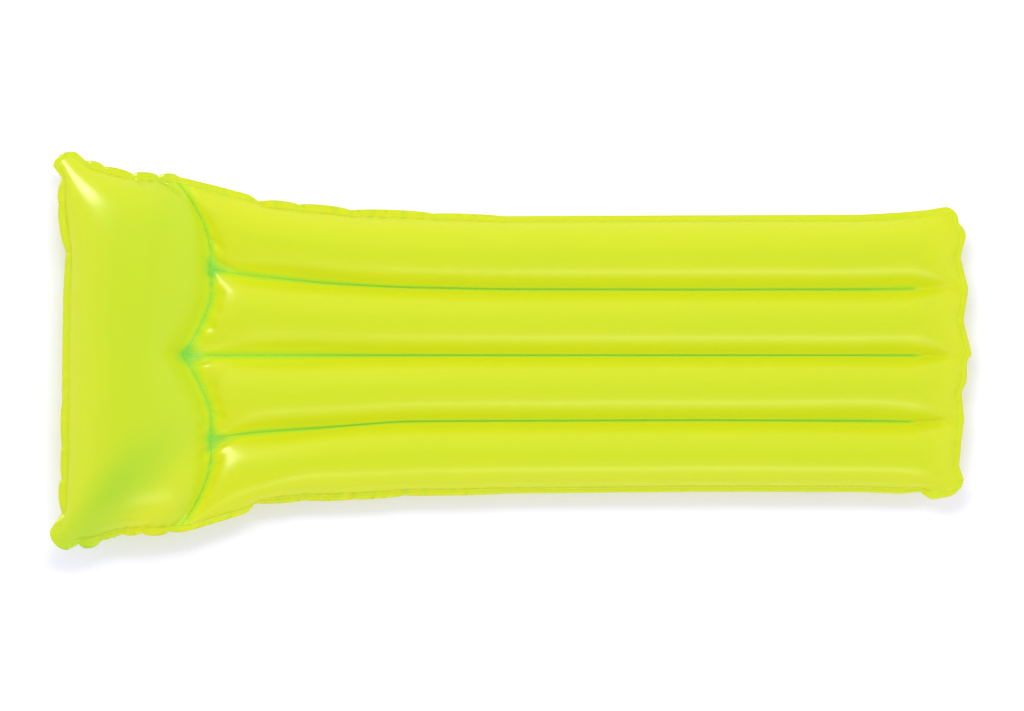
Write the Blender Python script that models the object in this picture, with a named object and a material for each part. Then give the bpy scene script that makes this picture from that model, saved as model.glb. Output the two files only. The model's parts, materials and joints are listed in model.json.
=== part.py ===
"""Inflated pool mattress: two vinyl films welded into a head pillow and four tubes, with two air valves.

Metres, +Z up. The mattress lies on the ground, its head towards -X and its foot towards +X.
The origin is on the ground, under the middle of the mattress.
"""

import math

import bmesh
import bpy
import numpy
from mathutils import Matrix, Vector

# Vinyl films and their welds
FILM = 0.0003  # thickness of each film
WELD_GAP = 0.0003  # clearance between the two films where they are welded
MARGIN = 0.011  # width of the welded margin outside the edge weld
SEAM = 0.004  # width of the weld lines between the chambers

# Plan, measured between the welds
PILLOW_LENGTH = 0.256  # head weld to the lobes of the pillow seam
BED_LENGTH = 1.397  # lobes of the pillow seam to the foot weld
TUBE_PITCH = 0.1235  # distance between the tube seams
SEAM_FLARE = 0.038  # how far each outer tube seam fans out at the pillow
EDGE_FLARE = 0.035  # how far each side edge fans out at the pillow
FLARE_LENGTH = 0.45
SHOULDER_PUFF = 0.026  # how far the film puffs out beside the pillow seam
SHOULDER_LENGTH = 0.09
PILLOW_HALF_WIDTH = 0.333

# Corners of the pillow, drawn out into ears by the fullness of the pillow
EAR_BACK = 0.026
EAR_OUT = 0.022
EAR_ROUND = 0.020  # distance from a corner to the tips of its ear
EAR_REACH = 0.060  # distance from those tips over which the ear fades

# Foot end
FOOT_FLARE = 0.014  # how far each side edge fans out past the ends of the tube seams
FOOT_DRAW = 0.010  # how far the end weld is drawn in at the middle of each tube
FOOT_CORNER_DRAW = 0.020
FOOT_CORNER = 0.050  # width of each rounded corner

# Pillow seam: two lobes that meet in a cusp, with a shoulder at each side
CUSP_DEPTH = 0.049
CUSP_REACH = 0.112  # distance from the cusp to where the lobes are full
CUSP_POWER = 1.35
SHOULDER_Y = 0.185
SHOULDER_DEPTH = 0.065
SHOULDER_POWER = 1.7

# Fullness of the chambers
TUBES = 4
TUBE_FILM = 0.1805  # width of film across each tube
PILLOW_CROWN = 0.083  # rise of the pillow above its welds
PILLOW_END = 0.15  # distance over which the pillow closes at each side
TUBE_HEAD_END = 0.060
TUBE_FOOT_END = 0.062
PASSAGE = 0.078  # gap between the ends of the tube seams and the foot weld, for the air to pass
PASSAGE_CROWN = 0.040  # rise of the film in that gap
PASSAGE_RISE = 0.035
LEVEL_START = -0.70  # the welds sink from the pillow's level to the tubes' between these places
LEVEL_END = -0.35
CONTACT_DEPTH = 0.0005  # how deep the ground flattens the film
CONTACT_EASE = 0.9  # the bends beside the flattened strip lie this share of the way to its edge
TAUT = 0.99  # the chord of a tube stays under this share of its film
FAN_START = 0.3  # share of the pillow's length where its bends begin to turn towards the tubes'
MARGIN_CORNER = 0.8  # reach of the margin's corners, as a share of a square corner's

# Where the films bend, as shares of each arc, and along the bed from the pillow seam
TUBE_BENDS = (0.42, 0.74, 1.0)
PILLOW_HEAD_BENDS = (0.40, 0.72, 1.0)
PILLOW_SEAM_BENDS = (0.52, 1.0)
BED_BENDS = (0.0, 0.020, 0.070, 0.180)
FOOT_BEND = 0.022

# Valves. Heights are measured along the valve's axis from the film's outer face, outwards.
VALVE_SEGMENTS = 20
BED_VALVE_X = 0.56
PILLOW_VALVE_Y = 0.162
FILM_HOLE_R = 0.0132
FLANGE_R = 0.0185
FLANGE = 0.0009
CUP_R = 0.0118
CUP_WALL = 0.0007
CUP_DEPTH = 0.0160
CUP_FOLD = 0.0030  # radius of the fold round the bottom of the cup
FIT = 0.0003  # clearance between pieces that touch
BORE_R = 0.0042
STEM_R = 0.0060
BEAD_R = 0.0066
BEAD = 0.0010
COLLAR_R = 0.0072
COLLAR_LIP = 0.0006
CAP_R = 0.0070
CAP = 0.0024
CAP_RECESS = 0.0006  # how far the cap lies behind the film's outer face
CAP_DISH = 0.0007
TAB_REACH = 0.0100
TAB_WIDTH = 0.0050
TAB = 0.0011
PLUG_FIT = 0.0002
PLUG_LENGTH = 0.0085
PLUG_TAPER = 0.0004
RING = 0.0020
RING_WALL = 0.0017
STRAP_WIDTH = 0.0040
STRAP = 0.0010
STRAP_REACH = 0.0106
FLAP_R = 0.0052
FLAP = 0.0006
FLAP_HINGE_R = 0.0062  # distance of the flap's hinge from the valve's axis
FLAP_LUG = 0.0024

# Rounding of the small valve pieces
FOLD_STEPS = 4  # faces round the fold of the cup
STRAP_STEPS = 8  # faces round the bend of the strap
BEAD_EDGE = BEAD / 3
CAP_EDGE = CAP / 4
LUG_TAPER = 0.6  # thickness of the flap's lug where it meets the disc, as a share of the flap's
PLUG_END = PLUG_LENGTH / 4  # length of the plug's tapered end
SHARP_ANGLE = 50  # degrees: the shading breaks at sharper folds

# Places of the valves on the faces that carry them, as shares across or along
MIDDLE_OF_FACE = 0.5

# Colour, roughness
VINYL = ((0.72, 0.86, 0.03, 1.0), 0.25)
MOULDED = ((0.80, 0.88, 0.25, 1.0), 0.35)

OVERALL_LENGTH = MARGIN + EAR_BACK + PILLOW_LENGTH + SEAM + BED_LENGTH + MARGIN
HEAD_X = MARGIN + EAR_BACK - OVERALL_LENGTH / 2
LOBE_X = HEAD_X + PILLOW_LENGTH + SEAM / 2
FOOT_X = OVERALL_LENGTH / 2 - MARGIN
SEAM_END_X = FOOT_X - PASSAGE


def blend(start, end, share):
    return start + (end - start) * share


def smooth(share):
    """An even rise from 0 to 1 as the share goes from 0 to 1."""
    share = min(1.0, max(0.0, share))
    return share * share * (3 - 2 * share)


def closing(distance, length):
    """Share of its full rise that a chamber has at this distance from its end: a quarter circle."""
    short = max(0.0, 1 - max(0.0, distance) / length)
    return math.sqrt(1 - short * short)


def hump(distance, centre, reach):
    return max(0.0, 1 - ((distance - centre) / reach) ** 2)


def arc_rise(chord, length):
    """Rise of a round arc of film of this length over this chord."""
    low, high = 0.01, math.pi
    for _ in range(40):
        angle = (low + high) / 2
        if math.sin(angle) / angle > chord / length:
            low = angle
        else:
            high = angle
    return chord / 2 * math.tan(low / 2)


def arc_point(chord, rise, share):
    """Place along the chord and height above it, at this share of the arc's half angle."""
    if rise < 1e-6:
        return chord / 2 * share, 0.0
    angle = 2 * math.atan(2 * rise / chord)
    radius = chord / 2 / math.sin(angle)
    return radius * math.sin(share * angle), radius * (math.cos(share * angle) - math.cos(angle))


def contact_share(chord, rise):
    """Share of the arc's half angle that the ground flattens."""
    angle = 2 * math.atan(2 * rise / chord)
    radius = chord / 2 / math.sin(angle)
    return CONTACT_EASE * math.acos(1 - CONTACT_DEPTH / radius) / angle


STRAIGHT_CHORD = TUBE_PITCH - SEAM
BED_LEVEL = arc_rise(STRAIGHT_CHORD, TUBE_FILM) + WELD_GAP / 2 + FILM - CONTACT_DEPTH
PILLOW_LEVEL = PILLOW_CROWN + WELD_GAP / 2 + FILM - CONTACT_DEPTH


def weld_level(x):
    """Height of the welds above the ground."""
    return blend(PILLOW_LEVEL, BED_LEVEL, smooth((x - LEVEL_START) / (LEVEL_END - LEVEL_START)))


def seam_line(index, x):
    """Y of the edge or seam at this count of pitches from the centre line, -2 to 2."""
    flare = max(0.0, 1 - (x - LOBE_X) / FLARE_LENGTH) ** 2
    side = math.copysign(1.0, index)
    if abs(index) < 1:
        return 0.0
    if abs(index) < TUBES / 2:
        return side * (abs(index) * TUBE_PITCH + SEAM_FLARE * flare)
    puff = 1 - smooth((x - LOBE_X) / SHOULDER_LENGTH)
    foot = max(0.0, 1 - (FOOT_X - x) / PASSAGE) ** 2
    width = abs(index) * TUBE_PITCH + EDGE_FLARE * flare + SHOULDER_PUFF * puff + FOOT_FLARE * foot
    return side * width


def tube_edges(tube, x):
    """Y of the welds on the two sides of a tube."""
    return seam_line(tube - TUBES / 2, x) + SEAM / 2, seam_line(tube + 1 - TUBES / 2, x) - SEAM / 2


def pillow_seam(y):
    """X of the middle of the pillow seam."""
    cusp = max(0.0, 1 - abs(y) / CUSP_REACH)
    shoulder = max(0.0, abs(y) - SHOULDER_Y) / (seam_line(TUBES / 2, LOBE_X) - SHOULDER_Y)
    return LOBE_X - CUSP_DEPTH * cusp ** CUSP_POWER - SHOULDER_DEPTH * shoulder ** SHOULDER_POWER


def foot_weld(tube, y):
    """X of the foot weld: drawn in at the middle of each tube and rounded at the corners."""
    low, high = tube_edges(tube, FOOT_X)
    draw = FOOT_DRAW * math.sin(math.pi * (y - low) / (high - low)) ** 2
    corner = max(0.0, 1 - (seam_line(TUBES / 2, FOOT_X) - abs(y)) / FOOT_CORNER) ** 2
    return FOOT_X - draw - FOOT_CORNER_DRAW * corner


def tube_place(tube, share, x):
    """Y of a place on a tube's arc, with the chord and full rise of the tube there."""
    low, high = tube_edges(tube, x)
    rise = arc_rise(min(high - low, TAUT * TUBE_FILM), TUBE_FILM)
    return (low + high) / 2 + arc_point(high - low, rise, share)[0], high - low, rise


def bed_point(tube, share, anchor, distance):
    """Plan place and rise of the film on the bed, for one bend across and one bend along."""
    seam_y = tube_place(tube, share, LOBE_X)[0]
    start = pillow_seam(seam_y) + SEAM / 2
    end = foot_weld(tube, tube_place(tube, share, FOOT_X)[0])
    x = {"seam": start, "bed": 0.0, "foot": end}[anchor] + distance
    y, chord, rise = tube_place(tube, share, x)
    ends = closing(x - start, TUBE_HEAD_END) * closing(end - x, TUBE_FOOT_END)
    passage = PASSAGE_CROWN * smooth((x - SEAM_END_X) / PASSAGE_RISE) * closing(end - x, TUBE_FOOT_END)
    low_edge = 0.0 if tube == 0 else passage
    high_edge = 0.0 if tube == TUBES - 1 else passage
    across, height = arc_point(chord, rise * ends, share)
    base = blend(low_edge, high_edge, (across + chord / 2) / chord)
    if rise * ends > 1e-6:
        height = base + (rise * ends - base) * height / (rise * ends)
    return x, y, height


def pillow_point(column, columns, seam_place, seam_half, share):
    """Plan place and rise of the film on the pillow. The columns run from those of the tubes."""
    along = (1 + share) / 2
    even = 2 * column / (columns - 1) - 1
    across = blend(even, seam_place / seam_half, smooth((along - FAN_START) / (1 - FAN_START)))
    chord_at_side = pillow_seam(seam_half) - HEAD_X
    ear = EAR_OUT * hump(along * chord_at_side, EAR_ROUND, EAR_REACH)
    half = blend(PILLOW_HALF_WIDTH, seam_half, smooth(along)) + ear
    y = across * half
    start = HEAD_X - EAR_BACK * hump(half - abs(y), EAR_ROUND, EAR_REACH)
    end = pillow_seam(seam_place) - SEAM / 2
    chord = end - start
    rise = PILLOW_CROWN * closing(half - abs(y), PILLOW_END) * math.sqrt(min(1.0, chord / PILLOW_LENGTH))
    place, height = arc_point(chord, rise, share)
    return (start + end) / 2 + place, y, height


def film_plan():
    """Rows of (x, y, rise) for every bend of the films, weld to weld, from head to foot."""
    flat = contact_share(STRAIGHT_CHORD, arc_rise(STRAIGHT_CHORD, TUBE_FILM))
    half = (flat,) + TUBE_BENDS
    bends = [-share for share in reversed(half)] + list(half)
    stations = [(tube, share) for tube in range(TUBES) for share in bends]
    seam_row = [bed_point(tube, share, "seam", 0.0) for tube, share in stations]
    half_at_seam = seam_row[-1][1]

    flat = contact_share(PILLOW_LENGTH, PILLOW_CROWN)
    rows = []
    for share in [-share for share in reversed(PILLOW_HEAD_BENDS)] + [-flat, flat] + list(PILLOW_SEAM_BENDS):
        row = []
        for column, place in enumerate(seam_row):
            row.append(pillow_point(column, len(seam_row), place[1], half_at_seam, share))
        rows.append(row)

    along = [("seam", distance) for distance in BED_BENDS]
    along.append(("bed", LOBE_X + FLARE_LENGTH))
    along.append(("bed", SEAM_END_X))
    along.append(("foot", -FOOT_BEND))
    along.append(("foot", 0.0))
    for anchor, distance in along:
        rows.append([bed_point(tube, share, anchor, distance) for tube, share in stations])
    return rows


def outward(before, after, inside):
    """Unit vector in plan, square to the line between two points and away from a third."""
    line = Vector((after[0] - before[0], after[1] - before[1]))
    normal = Vector((line.y, -line.x)).normalized()
    middle = Vector((before[0] + after[0], before[1] + after[1])) / 2
    return normal if normal.dot(middle - Vector(inside[:2])) > 0 else -normal


def add_margin(rows):
    """The plan with the welded margin round it."""
    last_row, last = len(rows) - 1, len(rows[0]) - 1

    def beside(row, column, step_row, step_column):
        before = rows[max(0, row - step_row)][max(0, column - step_column)]
        after = rows[min(last_row, row + step_row)][min(last, column + step_column)]
        inner_row = row if step_row else min(max(row, 1), last_row - 1)
        inner_column = column if step_column else min(max(column, 1), last - 1)
        step = outward(before, after, rows[inner_row][inner_column])
        x, y, _ = rows[row][column]
        return x + MARGIN * step.x, y + MARGIN * step.y, 0.0

    def corner(row, column):
        x, y, _ = rows[row][column]
        end = beside(row, column, 0, 1)
        side = beside(row, column, 1, 0)
        step = Vector((end[0] + side[0] - 2 * x, end[1] + side[1] - 2 * y)) * MARGIN_CORNER
        return x + step.x, y + step.y, 0.0

    whole = []
    for row in range(last_row + 1):
        whole.append([beside(row, 0, 1, 0)] + rows[row] + [beside(row, last, 1, 0)])
    ends = []
    for row in (0, last_row):
        middle = [beside(row, column, 0, 1) for column in range(last + 1)]
        ends.append([corner(row, 0)] + middle + [corner(row, last)])
    return [ends[0]] + whole + [ends[1]]


def inner_face(plan, side):
    """The inner face of the top film (side 1) or the bottom film (side -1), as rows of points."""
    rows = []
    for row in plan:
        points = []
        for x, y, rise in row:
            z = weld_level(x) + side * (rise + WELD_GAP / 2)
            points.append(Vector((x, y, max(z, FILM))))
        rows.append(points)
    return rows


def triangles(rows, columns):
    """Corner numbers of the triangles of a grid, its two halves mirrored."""
    faces = []
    for row in range(rows - 1):
        for column in range(columns - 1):
            a = row * columns + column
            b, c, d = a + columns, a + columns + 1, a + 1
            if column < (columns - 1) / 2:
                faces += [(a, b, c), (a, c, d)]
            else:
                faces += [(a, b, d), (b, c, d)]
    return faces


def grid_rim(rows, columns):
    """Corner numbers round the edge of a grid, in order."""
    rim = [column for column in range(columns)]
    rim += [row * columns + columns - 1 for row in range(1, rows)]
    rim += [(rows - 1) * columns + column for column in range(columns - 2, -1, -1)]
    rim += [row * columns for row in range(rows - 2, 0, -1)]
    return rim


def slab(name, near, far, rows, columns):
    """A closed solid between two faces that share one grid."""
    count = len(near)
    faces = triangles(rows, columns)
    rim = grid_rim(rows, columns)
    mesh_faces = [face for face in faces]
    mesh_faces += [tuple(reversed([corner + count for corner in face])) for face in faces]
    for index, corner in enumerate(rim):
        after = rim[(index + 1) % len(rim)]
        mesh_faces += [(corner, after, after + count), (corner, after + count, corner + count)]
    mesh = bpy.data.meshes.new(name)
    mesh.from_pydata([tuple(point) for point in near + far], [], mesh_faces)
    tidy(mesh)
    return add_object(name, mesh)


def even_offset(points, faces, side):
    """Points moved out by one film thickness, measured square to every face that meets there."""
    normals = [[] for _ in points]
    for face in faces:
        a, b, c = (points[corner] for corner in face)
        normal = (b - a).cross(c - a).normalized()
        for corner in face:
            normals[corner].append(normal * side)
    moved = []
    for point, around in zip(points, normals):
        step = numpy.linalg.lstsq(numpy.array(around), numpy.ones(len(around)), rcond=1e-3)[0]
        target = point + FILM * Vector(step)
        on_ground = point.z <= FILM * 1.001
        moved.append(Vector((target.x, target.y, 0.0 if on_ground else max(target.z, 0.0))))
    return moved


def tidy(mesh):
    """Faces pointing out, and smooth shading that breaks at the folds."""
    shape = bmesh.new()
    shape.from_mesh(mesh)
    bmesh.ops.remove_doubles(shape, verts=shape.verts, dist=1e-7)
    bmesh.ops.recalc_face_normals(shape, faces=shape.faces)
    shape.to_mesh(mesh)
    shape.free()
    mesh.shade_smooth()
    mesh.set_sharp_from_angle(angle=math.radians(SHARP_ANGLE))


def add_object(name, mesh):
    made = bpy.data.objects.new(name, mesh)
    bpy.context.scene.collection.objects.link(made)
    return made


def add_film(name, face, side):
    rows, columns = len(face), len(face[0])
    points = [point for row in face for point in row]
    outer = even_offset(points, triangles(rows, columns), side)
    return slab(name, points, outer, rows, columns), outer


def turned(name, profile):
    """A solid turned round Z from a closed profile of (radius, height)."""
    shape = bmesh.new()
    corners = [shape.verts.new((radius, 0, height)) for radius, height in profile]
    edges = []
    for index, corner in enumerate(corners):
        after = corners[(index + 1) % len(corners)]
        if corner.co.x > 0 or after.co.x > 0:
            edges.append(shape.edges.new((corner, after)))
    bmesh.ops.spin(
        shape, geom=corners + edges, axis=(0, 0, 1), cent=(0, 0, 0),
        angle=2 * math.pi, steps=VALVE_SEGMENTS, use_merge=True,
    )
    mesh = bpy.data.meshes.new(name)
    shape.to_mesh(mesh)
    shape.free()
    tidy(mesh)
    return add_object(name, mesh)


def extruded(name, outline, width):
    """A solid from an outline of (x, z) that reaches half the width to each side in Y."""
    shape = bmesh.new()
    corners = [shape.verts.new((x, -width / 2, z)) for x, z in outline]
    face = shape.faces.new(corners)
    grown = bmesh.ops.extrude_face_region(shape, geom=[face])
    moved = [item for item in grown["geom"] if isinstance(item, bmesh.types.BMVert)]
    bmesh.ops.translate(shape, verts=moved, vec=(0, width, 0))
    mesh = bpy.data.meshes.new(name)
    shape.to_mesh(mesh)
    shape.free()
    tidy(mesh)
    return add_object(name, mesh)


def as_tool(helper):
    """Marks an object that only cuts or joins others."""
    helper.hide_render = True
    helper.display_type = "WIRE"
    return helper


def boolean(target, helper, operation):
    step = target.modifiers.new(helper.name, "BOOLEAN")
    step.operation = operation
    step.solver = "EXACT"
    step.object = as_tool(helper)


def finish(made, look):
    colour, roughness = look
    material = bpy.data.materials.new(made.name)
    material.use_nodes = True
    surface = material.node_tree.nodes["Principled BSDF"]
    surface.inputs["Base Color"].default_value = colour
    surface.inputs["Roughness"].default_value = roughness
    surface.inputs["Metallic"].default_value = 0.0
    material.diffuse_color = colour
    made.data.materials.append(material)


def hold(child, parent, place=(0, 0, 0)):
    child.parent = parent
    child.location = place


def valve_cup_profile(radius, fold, depth, top, hole):
    """Closed profile of a cup that folds in at its bottom, down to a hole round the collar."""
    profile = [(hole, top), (radius, top)]
    for step in range(FOLD_STEPS + 1):
        angle = math.radians(90 * step / FOLD_STEPS)
        out, down = fold * math.cos(angle), fold * math.sin(angle)
        profile.append((CUP_R - CUP_FOLD + out, CUP_FOLD - CUP_DEPTH - down))
    profile.append((hole, depth))
    return profile


def add_valve_base(name, holder, face, cell):
    """Flange against the inside of the film, with the cup that folds out when the stem is pulled."""
    row, column = cell
    patch = [line[column - 1:column + 3] for line in face[row - 1:row + 3]]
    points = [point for line in patch for point in line]
    inwards = -(holder.matrix_world.to_3x3() @ Vector((0, 0, 1)))
    near = [point + inwards * FIT for point in points]
    far = [point + inwards * (FIT + FLANGE) for point in points]
    layer = slab(name + "_layer", near, far, len(patch), len(patch[0]))

    base = turned(name, [(0, CUP_DEPTH), (FLANGE_R, CUP_DEPTH), (FLANGE_R, -CUP_DEPTH), (0, -CUP_DEPTH)])
    hold(base, holder)
    boolean(base, layer, "INTERSECT")
    top = -(FILM + FIT + FLANGE / 2)
    bottom = -(CUP_DEPTH + CUP_WALL)
    cup = turned(name + "_cup", valve_cup_profile(CUP_R + CUP_WALL, CUP_FOLD + CUP_WALL, bottom, top, 0.0))
    hold(cup, holder)
    boolean(base, cup, "UNION")
    hollow = turned(name + "_hollow", valve_cup_profile(CUP_R, CUP_FOLD, -CUP_DEPTH, CUP_DEPTH, 0.0))
    hold(hollow, holder)
    boolean(base, hollow, "DIFFERENCE")
    hole_r = COLLAR_R + FIT
    hole = turned(name + "_hole", [(0, 0), (hole_r, 0), (hole_r, 2 * bottom), (0, 2 * bottom)])
    hold(hole, holder)
    boolean(base, hole, "DIFFERENCE")
    finish(base, MOULDED)


STEM_TIP = -(CAP_RECESS + CAP + FIT)
STEM_END = -(CUP_DEPTH + CUP_WALL + COLLAR_LIP)


def add_stem(name, holder):
    """Tube that is blown into, with a bead at its tip and a collar that the cup grows from."""
    collar_top = -(CUP_DEPTH - COLLAR_LIP)
    profile = [
        (BORE_R + BEAD_EDGE, STEM_TIP),
        (BEAD_R - BEAD_EDGE, STEM_TIP),
        (BEAD_R, STEM_TIP - BEAD_EDGE),
        (BEAD_R, STEM_TIP - BEAD),
        (STEM_R, STEM_TIP - BEAD),
        (STEM_R, collar_top),
        (COLLAR_R - BEAD_EDGE, collar_top),
        (COLLAR_R, collar_top - BEAD_EDGE),
        (COLLAR_R, STEM_END),
        (BORE_R, STEM_END),
        (BORE_R, STEM_TIP - BEAD_EDGE),
    ]
    stem = turned(name, profile)
    hold(stem, holder)
    finish(stem, MOULDED)


def add_flap(name, holder):
    """Flap that the air in the chamber presses shut over the inner end of the stem."""
    middle = STEM_END - FIT - FLAP / 2
    disc = turned(name, [(0, FLAP / 2), (FLAP_R, FLAP / 2), (FLAP_R, -FLAP / 2), (0, -FLAP / 2)])
    disc.data.transform(Matrix.Translation((FLAP_HINGE_R, 0, 0)))
    hold(disc, holder, (-FLAP_HINGE_R, 0, middle))
    root = FLAP / 2
    lug_end = FLAP_HINGE_R - FLAP_R / 2
    thin = root * LUG_TAPER
    outline = [(-root, -root), (lug_end, -thin), (lug_end, thin), (-root, root)]
    lug = extruded(name + "_lug", outline, FLAP_LUG)
    hold(lug, holder, (-FLAP_HINGE_R, 0, middle))
    boolean(disc, lug, "UNION")
    finish(disc, MOULDED)


def add_tether(name, holder):
    """Ring that turns on the stem under its bead, with the strap that keeps the stopper."""
    top = STEM_TIP - BEAD - FIT
    inner = STEM_R + FIT
    outer = inner + RING_WALL
    ring = turned(name, [(inner, top), (outer, top), (outer, top - RING), (inner, top - RING)])
    hold(ring, holder)
    ring_middle = top - RING / 2
    cap_middle = -(CAP_RECESS + CAP / 2)
    centre = (ring_middle + cap_middle) / 2
    bend = (cap_middle - ring_middle) / 2
    reach = STRAP_REACH - bend - STRAP / 2
    outline = [(outer - RING_WALL / 2, centre - bend - STRAP / 2)]
    for step in range(STRAP_STEPS + 1):
        angle = math.radians(180 * step / STRAP_STEPS - 90)
        radius = bend + STRAP / 2
        outline.append((reach + radius * math.cos(angle), centre + radius * math.sin(angle)))
    outline.append((CAP_R + FIT, centre + bend + STRAP / 2))
    outline.append((CAP_R + FIT, centre + bend - STRAP / 2))
    for step in range(STRAP_STEPS, -1, -1):
        angle = math.radians(180 * step / STRAP_STEPS - 90)
        radius = bend - STRAP / 2
        outline.append((reach + radius * math.cos(angle), centre + radius * math.sin(angle)))
    outline.append((outer - RING_WALL / 2, centre - bend + STRAP / 2))
    strap = extruded(name + "_strap", outline, STRAP_WIDTH)
    hold(strap, holder)
    boolean(ring, strap, "UNION")
    finish(ring, MOULDED)


def add_stopper(name, holder):
    """Cap with a plug that closes the stem, and a tab to pull it by."""
    top = -CAP_RECESS
    under = top - CAP
    plug_r = BORE_R - PLUG_FIT
    end = under - PLUG_LENGTH
    profile = [
        (0, top - CAP_DISH),
        (CAP_R - 2 * CAP_EDGE, top),
        (CAP_R - CAP_EDGE, top),
        (CAP_R, top - CAP_EDGE),
        (CAP_R, under),
        (plug_r, under),
        (plug_r, end + PLUG_END),
        (plug_r - PLUG_TAPER, end),
        (0, end),
    ]
    stopper = turned(name, profile)
    hold(stopper, holder)
    middle = top - CAP / 2
    outline = [
        (-CAP_R / 2, middle + TAB / 2),
        (-TAB_REACH + TAB / 2, middle + TAB / 2),
        (-TAB_REACH, middle),
        (-TAB_REACH + TAB / 2, middle - TAB / 2),
        (-CAP_R / 2, middle - TAB / 2),
    ]
    tab = extruded(name + "_tab", outline, TAB_WIDTH)
    hold(tab, holder)
    boolean(stopper, tab, "UNION")
    finish(stopper, MOULDED)


def add_valve(name, sheet, face, outer, cell, along, across):
    """One valve, standing square on the face of the film that holds the given place."""
    row, column = cell
    columns = len(face[0])
    corner = row * columns + column
    a, b = outer[corner], outer[corner + columns]
    d, c = outer[corner + 1], outer[corner + columns + 1]
    place = a.lerp(b, along).lerp(d.lerp(c, along), across)
    axis = (b - a + c - d).cross(d - a + c - b).normalized()
    if axis.z > 0:
        axis = -axis
    side = Vector((1, 0, 0)) - axis * axis.x
    side.normalize()
    turn = Matrix((side, axis.cross(side), axis)).transposed().to_4x4()

    holder = bpy.data.objects.new(name, None)
    bpy.context.scene.collection.objects.link(holder)
    holder.matrix_world = Matrix.Translation(place) @ turn
    bpy.context.view_layer.update()

    hole = turned(name + "_film_hole", [
        (0, FLANGE_R), (FILM_HOLE_R, FLANGE_R), (FILM_HOLE_R, -FLANGE_R), (0, -FLANGE_R)])
    hold(hole, holder)
    boolean(sheet, hole, "DIFFERENCE")
    add_valve_base(name + "_base", holder, face, cell)
    add_stem(name + "_stem", holder)
    add_flap(name + "_flap", holder)
    add_tether(name + "_tether", holder)
    add_stopper(name + "_stopper", holder)


def find_cell(face, row, y):
    """Column of the face of this row that holds this Y at its middle, and the share across it."""
    for column in range(1, len(face[0]) - 2):
        low = (face[row][column].y + face[row + 1][column].y) / 2
        high = (face[row][column + 1].y + face[row + 1][column + 1].y) / 2
        if low <= y <= high:
            return column, (y - low) / (high - low)
    raise ValueError("no face holds this place")


def build():
    for old in list(bpy.data.objects):
        bpy.data.objects.remove(old)

    plan = add_margin(film_plan())
    top_face = inner_face(plan, 1)
    bottom_face = inner_face(plan, -1)
    top_sheet, _ = add_film("top_sheet", top_face, 1)
    finish(top_sheet, VINYL)
    bottom_sheet, bottom_outer = add_film("bottom_sheet", bottom_face, -1)
    finish(bottom_sheet, VINYL)

    # The bed's valve is low on the outer side of the tube at -Y, half way up its flank
    straight = 1 + len(PILLOW_HEAD_BENDS) + 2 + len(PILLOW_SEAM_BENDS) + len(BED_BENDS)
    flank = 2
    start, end = bottom_face[straight][flank].x, bottom_face[straight + 1][flank].x
    along = (BED_VALVE_X - start) / (end - start)
    add_valve("bed_valve", bottom_sheet, bottom_face, bottom_outer, (straight, flank), along, MIDDLE_OF_FACE)

    # The pillow's valve is under the head end, in line with a lobe of the seam
    head_flank = 2
    column, across = find_cell(bottom_face, head_flank, PILLOW_VALVE_Y)
    place = (head_flank, column)
    add_valve("pillow_valve", bottom_sheet, bottom_face, bottom_outer, place, MIDDLE_OF_FACE, across)


build()
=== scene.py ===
"""Pool air mattress: welded vinyl films, inflated, on a pale floor in soft studio light.

The films start as the flat pattern that such a mattress is cut to, and a pressure simulation blows them up
between their welds. The edges and seams in the tables below follow the photograph.
"""

import json
import math
from functools import partial

import bmesh
import bpy
import numpy as np
from mathutils import Matrix, Vector


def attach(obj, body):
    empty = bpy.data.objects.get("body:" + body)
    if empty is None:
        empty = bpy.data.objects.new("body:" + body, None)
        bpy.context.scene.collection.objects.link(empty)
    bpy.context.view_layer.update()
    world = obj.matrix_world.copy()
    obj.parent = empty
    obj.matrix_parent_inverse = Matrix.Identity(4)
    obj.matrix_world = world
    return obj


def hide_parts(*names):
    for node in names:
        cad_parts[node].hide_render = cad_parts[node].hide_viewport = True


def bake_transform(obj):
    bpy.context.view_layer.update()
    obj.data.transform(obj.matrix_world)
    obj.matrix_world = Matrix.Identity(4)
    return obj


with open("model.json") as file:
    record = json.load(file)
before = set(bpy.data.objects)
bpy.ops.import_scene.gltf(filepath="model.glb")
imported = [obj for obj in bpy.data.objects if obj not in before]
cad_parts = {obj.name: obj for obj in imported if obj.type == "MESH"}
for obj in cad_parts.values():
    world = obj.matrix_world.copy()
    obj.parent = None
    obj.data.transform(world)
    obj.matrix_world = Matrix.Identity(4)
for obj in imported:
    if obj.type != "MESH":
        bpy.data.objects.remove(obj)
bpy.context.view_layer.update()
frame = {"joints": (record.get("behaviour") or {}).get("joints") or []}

# The flat pattern that the films are cut and welded to
FILM = 0.0003
GAP = 0.0003
MARGIN = 0.0105
SEAM = 0.004
TUBES = 4
TUBE_FLAT = 0.1805
PILLOW_FLAT = 0.3225
BED_FLAT = 1.458
PASSAGE_FLAT = 0.098
PITCH_FLAT = TUBE_FLAT + SEAM
HALF_FLAT = (TUBES * TUBE_FLAT + (TUBES - 1) * SEAM) / 2
END_FLAT = PILLOW_FLAT + SEAM + BED_FLAT


def metres(*rows):
    """A table that is given in tenths of a millimetre."""
    return np.array(rows) / 10000


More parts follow.
